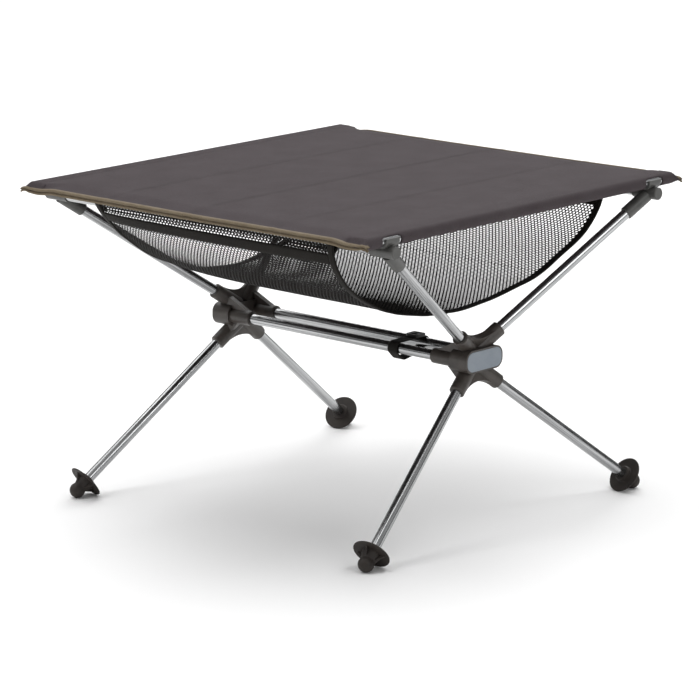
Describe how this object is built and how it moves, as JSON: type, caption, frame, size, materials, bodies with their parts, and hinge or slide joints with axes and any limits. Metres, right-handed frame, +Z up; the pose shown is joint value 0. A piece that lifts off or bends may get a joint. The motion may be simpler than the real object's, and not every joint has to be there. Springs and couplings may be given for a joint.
{
  "type": "folding camp table",
  "caption": "Low folding camp table with a fabric top on side poles, a hanging mesh shelf, moulded hubs and crossed shock-corded tube legs with disc feet",
  "frame": {"origin": "on the floor, under the middle of the top", "axes": "+X along the crossbars and across the side poles, +Y along the side poles, +Z up"},
  "size_m": [0.584, 0.5688, 0.4024],
  "materials": {
    "tube_metal": "satin",
    "hub_plastic": "moulded, fine grain",
    "clip_plastic": "moulded",
    "badge_plate": "satin, no lettering",
    "foot_rubber": "matte",
    "top_fabric": "coated plain weave, stitched seams",
    "binding_tape": "ribbed edge binding",
    "mesh": "open knitted mesh",
    "webbing": "woven webbing",
    "buckle_plastic": "moulded",
    "cord": "braided elastic cord"
  },
  "bodies": {
    "frame": {"arm_back_left": "tube_metal", "arm_back_right": "tube_metal", "arm_cords": "cord", "arm_front_left": "tube_metal", "arm_front_right": "tube_metal", "arm_plugs": "clip_plastic", "badge_left": "badge_plate", "badge_right": "badge_plate", "basket_tape_left": "webbing", "basket_tape_right": "webbing", "corner_clip_back_left": "clip_plastic", "corner_clip_back_right": "clip_plastic", "corner_clip_front_left": "clip_plastic", "corner_clip_front_right": "clip_plastic", "cross_pole_back": "tube_metal", "cross_pole_front": "tube_metal", "crossbar_back": "tube_metal", "crossbar_front": "tube_metal", "hub_left": "hub_plastic", "hub_right": "hub_plastic", "mesh_basket": "mesh"},
    "leg_front_left": {"leg_front_left": "tube_metal", "leg_plug_front_left": "clip_plastic", "leg_cord_front_left": "cord", "foot_front_left": "foot_rubber"},
    "leg_front_right": {"leg_front_right": "tube_metal", "leg_plug_front_right": "clip_plastic", "leg_cord_front_right": "cord", "foot_front_right": "foot_rubber"},
    "leg_back_left": {"leg_back_left": "tube_metal", "leg_plug_back_left": "clip_plastic", "leg_cord_back_left": "cord", "foot_back_left": "foot_rubber"},
    "leg_back_right": {"leg_back_right": "tube_metal", "leg_plug_back_right": "clip_plastic", "leg_cord_back_right": "cord", "foot_back_right": "foot_rubber"},
    "top": {"fabric_top": "top_fabric", "side_pole_left": "tube_metal", "side_pole_right": "tube_metal", "binding_front": "binding_tape", "binding_back": "binding_tape", "pole_caps": "clip_plastic"},
    "strap": {"strap_band": "webbing", "strap_buckle": "buckle_plastic"}
  },
  "joints": [
    {"name": "leg_pull_front_left", "type": "slide", "parent": "frame", "child": "leg_front_left", "axis": [-0.1621, -0.7818, -0.6021], "range_m": [0, 0.034], "stiffness_N_per_m": 100, "springref_m": -0.05},
    {"name": "leg_pull_front_right", "type": "slide", "parent": "frame", "child": "leg_front_right", "axis": [0.1621, -0.7818, -0.6021], "range_m": [0, 0.034], "stiffness_N_per_m": 100, "springref_m": -0.05},
    {"name": "leg_pull_back_left", "type": "slide", "parent": "frame", "child": "leg_back_left", "axis": [-0.1621, 0.7818, -0.6021], "range_m": [0, 0.034], "stiffness_N_per_m": 100, "springref_m": -0.05},
    {"name": "leg_pull_back_right", "type": "slide", "parent": "frame", "child": "leg_back_right", "axis": [0.1621, 0.7818, -0.6021], "range_m": [0, 0.034], "stiffness_N_per_m": 100, "springref_m": -0.05},
    {"name": "top_lift", "type": "slide", "parent": "frame", "child": "top", "axis": [0, 0, 1], "range_m": [0, 0.05]},
    {"name": "strap_slide", "type": "slide", "parent": "frame", "child": "strap", "axis": [1, 0, 0], "range_m": [-0.235, 0.045]}
  ]
}
